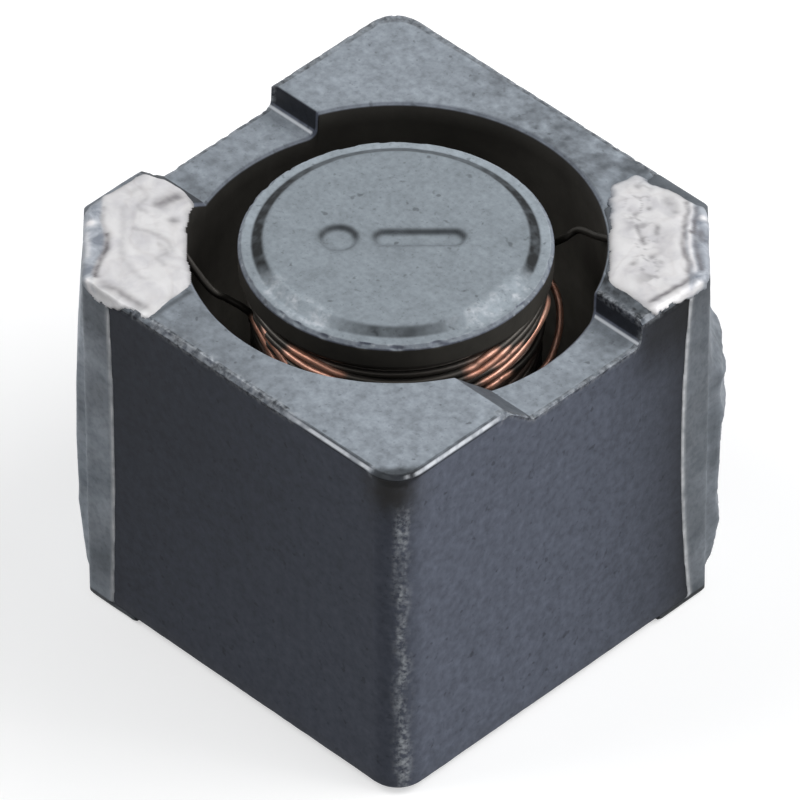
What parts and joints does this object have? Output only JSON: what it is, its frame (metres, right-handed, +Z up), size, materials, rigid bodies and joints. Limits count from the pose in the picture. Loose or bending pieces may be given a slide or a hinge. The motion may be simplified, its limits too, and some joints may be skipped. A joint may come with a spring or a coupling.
{
  "type": "shielded smd inductor",
  "caption": "Tall square shielded surface-mount power inductor: a wire-wound ferrite drum core in a square ferrite ring, with solder terminals on opposite corners.",
  "frame": {"origin": "centre of the footprint on the board, under the drum core's axis", "axes": "+Z up from the board along the drum's axis; +X and +Y square to the ring's sides, the notched walls facing +X and -X, the terminals on the -X -Y and +X +Y corners"},
  "size_m": [0.0122, 0.0122, 0.0102],
  "materials": {
    "ferrite": "matt sintered ferrite with fine pits",
    "enamelled_copper": "clear enamel on copper wire",
    "tinned_metal": "dull tin plate",
    "solder": "bright, lumpy solder",
    "epoxy": "cured adhesive"
  },
  "bodies": {
    "root": {"shield_ring": "ferrite", "drum_core": "ferrite", "winding": "enamelled_copper", "terminal_left": "tinned_metal", "terminal_right": "tinned_metal", "solder_left": "solder", "solder_right": "solder", "core_bond": "epoxy", "terminal_bond_left": "epoxy", "terminal_bond_right": "epoxy"}
  },
  "joints": []
}
